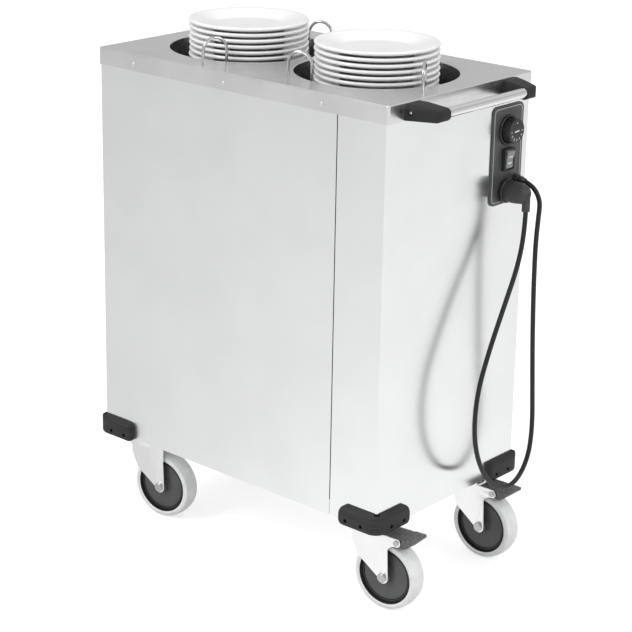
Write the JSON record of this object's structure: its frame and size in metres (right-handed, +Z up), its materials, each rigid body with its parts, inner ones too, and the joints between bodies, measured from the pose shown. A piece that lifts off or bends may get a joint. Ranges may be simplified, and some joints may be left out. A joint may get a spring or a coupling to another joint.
{
  "type": "plate dispenser cart",
  "caption": "Upright stainless cart on swivel casters that keeps two stacks of plates warm in sprung wells, with a handle, a dial, a rocker switch and a mains cord.",
  "frame": {"origin": "on the floor, midway between the handle and the tail bumpers and midway across the cabinet", "axes": "+Z up, +X towards the handle end, +Y across the cabinet towards the side the controls are nearer to"},
  "size_m": [0.7425, 0.4106, 0.953],
  "materials": {
    "black_plastic": "black",
    "bright_steel": "satin",
    "bumper_rubber": "matt black",
    "ceramic": "glossy white glaze",
    "cord_rubber": "black",
    "handle_plastic": "fine texture, black",
    "heater_sheath": "darkened by heat",
    "panel_plastic": "dark with a light border line",
    "pedal_plastic": "black, ribbed",
    "plug_rubber": "black",
    "rocker_plastic": "light grey",
    "spring_steel": "dull",
    "stainless": "brushed upright",
    "stainless_top": "brushed along its length",
    "tyre_grey": "light grey, non marking",
    "well_steel": "satin",
    "wheel_plastic": "dark grey",
    "wire": "polished",
    "zinc": "bright zinc plated"
  },
  "bodies": {
    "cabinet": {"base_tray": "stainless", "body_shell": "stainless", "bumper_screws": "bright_steel", "bumpers": "bumper_rubber", "caster_bolts": "zinc", "caster_plates": "zinc", "control_plate": "panel_plastic", "cord_gland": "black_plastic", "end_cover": "stainless", "guide_bushes": "black_plastic", "handle_bracket_far": "handle_plastic", "handle_bracket_near": "handle_plastic", "handle_grip": "bright_steel", "heater_clips": "bright_steel", "heaters": "heater_sheath", "knob_bezel": "black_plastic", "lift_springs_left": "spring_steel", "lift_springs_right": "spring_steel", "parking_socket": "black_plastic", "power_cord": "cord_rubber", "power_plug": "plug_rubber", "skirt_rivets": "bright_steel", "switch_frame": "black_plastic", "thermostat": "black_plastic", "top_pan": "stainless_top", "well_left": "well_steel", "well_right": "well_steel"},
    "lift_left": {"platform_left": "well_steel", "plates_left": "ceramic"},
    "guide_left_1": {"plate_guide_left_1": "wire"},
    "guide_left_2": {"plate_guide_left_2": "wire"},
    "guide_left_3": {"plate_guide_left_3": "wire"},
    "lift_right": {"platform_right": "well_steel", "plates_right": "ceramic"},
    "guide_right_1": {"plate_guide_right_1": "wire"},
    "guide_right_2": {"plate_guide_right_2": "wire"},
    "guide_right_3": {"plate_guide_right_3": "wire"},
    "knob": {"temperature_knob": "black_plastic", "thermostat_spindle": "bright_steel"},
    "rocker": {"switch_rocker": "rocker_plastic"},
    "caster_near_handle": {"fork_near_handle": "zinc", "axle_near_handle": "zinc", "pedal_pin_near_handle": "zinc"},
    "rolling_wheel_near_handle": {"wheel_near_handle": "wheel_plastic", "tyre_near_handle": "tyre_grey"},
    "pedal_near_handle": {"brake_pedal_near_handle": "pedal_plastic"},
    "caster_far_handle": {"fork_far_handle": "zinc", "axle_far_handle": "zinc", "pedal_pin_far_handle": "zinc"},
    "rolling_wheel_far_handle": {"wheel_far_handle": "wheel_plastic", "tyre_far_handle": "tyre_grey"},
    "pedal_far_handle": {"brake_pedal_far_handle": "pedal_plastic"},
    "caster_near_tail": {"fork_near_tail": "zinc", "axle_near_tail": "zinc"},
    "rolling_wheel_near_tail": {"wheel_near_tail": "wheel_plastic", "tyre_near_tail": "tyre_grey"},
    "caster_far_tail": {"fork_far_tail": "zinc", "axle_far_tail": "zinc"},
    "rolling_wheel_far_tail": {"wheel_far_tail": "wheel_plastic", "tyre_far_tail": "tyre_grey"}
  },
  "joints": [
    {"name": "lift_left", "type": "slide", "parent": "cabinet", "child": "lift_left", "axis": [0, 0, 1], "range_m": [-0.36, 0.02], "stiffness_N_per_m": 532.8, "springref_m": 0.10563, "deforming": ["lift_springs_left"]},
    {"name": "turn_guide_left_1", "type": "hinge", "parent": "cabinet", "child": "guide_left_1", "pos_m": [-0.14014, -0.15015, 0.9], "axis": [0, 0, 1], "range_deg": [-24, 17]},
    {"name": "turn_guide_left_2", "type": "hinge", "parent": "cabinet", "child": "guide_left_2", "pos_m": [-0.08182, 0.12418, 0.9], "axis": [0, 0, 1], "range_deg": [-24, 17]},
    {"name": "turn_guide_left_3", "type": "hinge", "parent": "cabinet", "child": "guide_left_3", "pos_m": [-0.3222, 0.03191, 0.9], "axis": [0, 0, 1], "range_deg": [-24, 17]},
    {"name": "lift_right", "type": "slide", "parent": "cabinet", "child": "lift_right", "axis": [0, 0, 1], "range_m": [-0.36, 0.02], "stiffness_N_per_m": 532.8, "springref_m": 0.10563, "deforming": ["lift_springs_right"]},
    {"name": "turn_guide_right_1", "type": "hinge", "parent": "cabinet", "child": "guide_right_1", "pos_m": [0.03185, -0.12096, 0.9], "axis": [0, 0, 1], "range_deg": [-24, 17]},
    {"name": "turn_guide_right_2", "type": "hinge", "parent": "cabinet", "child": "guide_right_2", "pos_m": [0.26965, -0.05501, 0.9], "axis": [0, 0, 1], "range_deg": [-24, 17]},
    {"name": "turn_guide_right_3", "type": "hinge", "parent": "cabinet", "child": "guide_right_3", "pos_m": [0.08147, 0.14679, 0.9], "axis": [0, 0, 1], "range_deg": [-24, 17]},
    {"name": "set_temperature", "type": "hinge", "parent": "cabinet", "child": "knob", "pos_m": [0.31295, 0.13, 0.807], "axis": [1, 0, 0], "range_deg": [-270, 0]},
    {"name": "tip_rocker", "type": "hinge", "parent": "cabinet", "child": "rocker", "pos_m": [0.31295, 0.13, 0.756], "axis": [0, 1, 0], "range_deg": [0, 16]},
    {"name": "swivel_near_handle", "type": "hinge", "parent": "cabinet", "child": "caster_near_handle", "pos_m": [0.25165, -0.1415, 0.164], "axis": [0, 0, 1], "continuous": true},
    {"name": "roll_near_handle", "type": "hinge", "parent": "caster_near_handle", "child": "rolling_wheel_near_handle", "pos_m": [0.29638, -0.13656, 0.0625], "axis": [-0.1097, 0.994, 0], "continuous": true},
    {"name": "press_pedal_near_handle", "type": "hinge", "parent": "caster_near_handle", "child": "pedal_near_handle", "pos_m": [0.32222, -0.13371, 0.135], "axis": [-0.1097, 0.994, 0], "range_deg": [0, 12]},
    {"name": "swivel_far_handle", "type": "hinge", "parent": "cabinet", "child": "caster_far_handle", "pos_m": [0.25165, 0.1415, 0.164], "axis": [0, 0, 1], "continuous": true},
    {"name": "roll_far_handle", "type": "hinge", "parent": "caster_far_handle", "child": "rolling_wheel_far_handle", "pos_m": [0.29664, 0.14221, 0.0625], "axis": [-0.0157, 0.9999, 0], "continuous": true},
    {"name": "press_pedal_far_handle", "type": "hinge", "parent": "caster_far_handle", "child": "pedal_far_handle", "pos_m": [0.32264, 0.14261, 0.135], "axis": [-0.0157, 0.9999, 0], "range_deg": [0, 12]},
    {"name": "swivel_near_tail", "type": "hinge", "parent": "cabinet", "child": "caster_near_tail", "pos_m": [-0.29735, -0.1415, 0.164], "axis": [0, 0, 1], "continuous": true},
    {"name": "roll_near_tail", "type": "hinge", "parent": "caster_near_tail", "child": "rolling_wheel_near_tail", "pos_m": [-0.25279, -0.13524, 0.0625], "axis": [-0.1392, 0.9903, 0], "continuous": true},
    {"name": "swivel_far_tail", "type": "hinge", "parent": "cabinet", "child": "caster_far_tail", "pos_m": [-0.29735, 0.1415, 0.164], "axis": [0, 0, 1], "continuous": true},
    {"name": "roll_far_tail", "type": "hinge", "parent": "caster_far_tail", "child": "rolling_wheel_far_tail", "pos_m": [-0.25246, 0.14464, 0.0625], "axis": [-0.0698, 0.9976, 0], "continuous": true}
  ]
}
